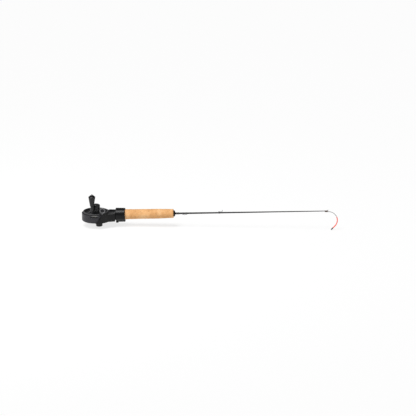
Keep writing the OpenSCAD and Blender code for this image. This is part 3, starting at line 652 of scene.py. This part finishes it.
def curled(radius, from_angle, straight, sides, pitch, name, nodes, material, waist=1.0, lead=0.0):
    """A round section swept round the bend and on along the straight run, with eased ends.

    With a waist under one, every second ring is drawn in, which gives the turns of a close-wound spring."""
    lip = 0.3
    bm = bmesh.new()
    place, heading = on_bend(from_angle)
    place = place - heading * (lead + radius * lip)
    upright = heading.to_track_quat("Z", "Y").to_matrix().to_4x4()
    bmesh.ops.create_circle(bm, cap_ends=True, segments=sides, radius=radius * (1 - lip),
                            matrix=Matrix.Translation(place) @ upright)
    bm.faces.ensure_lookup_table()
    end = bm.faces[0]

    def pushed(face):
        moved = bmesh.ops.extrude_face_region(bm, geom=[face])["geom"]
        verts = [g for g in moved if isinstance(g, bmesh.types.BMVert)]
        return [g for g in moved if isinstance(g, bmesh.types.BMFace)][0], verts

    def resized(face, verts, scale):
        bmesh.ops.scale(bm, vec=(scale, scale, scale), verts=verts,
                        space=Matrix.Translation(-face.calc_center_median()))

    end, verts = pushed(end)
    resized(end, verts, 1 / (1 - lip))
    bmesh.ops.translate(bm, vec=heading * radius * lip, verts=verts)
    if lead:
        end, verts = pushed(end)
        bmesh.ops.translate(bm, vec=heading * lead, verts=verts)
    steps = 2 * max(1, round(BEND_R * (BEND_ANGLE - from_angle) / pitch))
    for i in range(steps):
        end, verts = pushed(end)
        bmesh.ops.rotate(bm, cent=BEND_CENTRE, verts=verts,
                         matrix=Matrix.Rotation((BEND_ANGLE - from_angle) / steps, 3, "Y"))
        resized(end, verts, 1 / waist if i % 2 else waist)
    heading = on_bend(BEND_ANGLE)[1]
    steps = 2 * max(1, round(straight / pitch))
    for i in range(steps):
        end, verts = pushed(end)
        bmesh.ops.translate(bm, vec=heading * straight / steps, verts=verts)
        resized(end, verts, 1 / waist if i % 2 else waist)
    end, verts = pushed(end)
    resized(end, verts, 1 - lip)
    bmesh.ops.translate(bm, vec=heading * radius * lip, verts=verts)
    bmesh.ops.transform(bm, matrix=ALONG_ROD, verts=bm.verts[:])
    return finish_piece(bm, name, "bobber", nodes, material, 40)


TUBE_STRAIGHT = STRAIGHT + TIP_R - TIP_LEN
curled(WIRE_R, 0.0, STRAIGHT - 2.4 * MM, 16, 0.4 * MM, "spring_wire", ["bobber_wire"],
       spring_steel, 0.88, 0.3 * MM)
curled(TUBE_R, BARE_ANGLE, TUBE_STRAIGHT - 0.3 * MM, 28, 2 * MM, "colour_tube", ["bobber_tube"],
       bobber_red)
refined("bobber_tip", "bobber_bead", "bobber", bobber_black, 0.15 * MM)


# ---------------------------------------------------------------- stage, light and camera

def stage():
    bm = bmesh.new()
    bmesh.ops.create_grid(bm, x_segments=1, y_segments=1, size=25)
    mesh = bpy.data.meshes.new("table_top")
    bm.to_mesh(mesh)
    bm.free()
    table = bpy.data.objects.new("table_top", mesh)
    bpy.context.scene.collection.objects.link(table)
    material = bpy.data.materials.new("white table")
    material.use_nodes = True
    tree = material.node_tree
    shader = tree.nodes["Principled BSDF"]
    shader.inputs["Base Color"].default_value = (0.2, 0.2, 0.2, 1)
    shader.inputs["Roughness"].default_value = 0.9
    shader.inputs["Specular IOR Level"].default_value = 0.0
    shader.inputs["Emission Color"].default_value = (1, 1, 1, 1)
    shader.inputs["Emission Strength"].default_value = 0.765
    mesh.materials.append(material)


def area_light(name, place, target, width, height, power):
    light = bpy.data.lights.new(name, "AREA")
    light.shape = "RECTANGLE"
    light.size = width
    light.size_y = height
    light.energy = power
    lamp = bpy.data.objects.new(name, light)
    lamp.location = place
    lamp.rotation_mode = "QUATERNION"
    lamp.rotation_quaternion = (Vector(target) - Vector(place)).to_track_quat("-Z", "Y")
    bpy.context.scene.collection.objects.link(lamp)


def sun_light(name, towards, spread, strength):
    light = bpy.data.lights.new(name, "SUN")
    light.angle = math.radians(spread)
    light.energy = strength
    lamp = bpy.data.objects.new(name, light)
    lamp.rotation_mode = "QUATERNION"
    lamp.rotation_quaternion = Vector(towards).to_track_quat("Z", "Y")
    bpy.context.scene.collection.objects.link(lamp)


def world():
    space = bpy.data.worlds.new("white room")
    space.use_nodes = True
    back = space.node_tree.nodes["Background"]
    back.inputs["Color"].default_value = (1, 1, 1, 1)
    back.inputs["Strength"].default_value = 0.22
    bpy.context.scene.world = space


def camera():
    azimuth, elevation = math.radians(3.5), math.radians(16.5)
    target = Vector((0.2613, 0, 0.0493))
    lens, sensor, frame_width = 200, 36, 0.993
    back = Vector((math.sin(azimuth) * math.cos(elevation), -math.cos(azimuth) * math.cos(elevation),
                   math.sin(elevation)))
    data = bpy.data.cameras.new("camera")
    data.lens = lens
    data.sensor_width = sensor
    data.clip_end = 100
    holder = bpy.data.objects.new("camera", data)
    holder.location = target + back * frame_width * lens / sensor
    holder.rotation_mode = "QUATERNION"
    holder.rotation_quaternion = (-back).to_track_quat("-Z", "Y")
    bpy.context.scene.collection.objects.link(holder)
    bpy.context.scene.camera = holder


stage()
world()
sun_light("key sun", (-0.28, -0.45, 1.0), 30, 2.9)
area_light("left strip", (-0.8, -0.62, 0.45), (0.0, 0, 0.04), 0.1, 0.7, 4.2)
area_light("top spot", (0.05, -0.25, 1.1), (0.02, 0, 0.04), 0.2, 0.2, 1.6)
camera()
bpy.context.scene.view_settings.view_transform = "Standard"
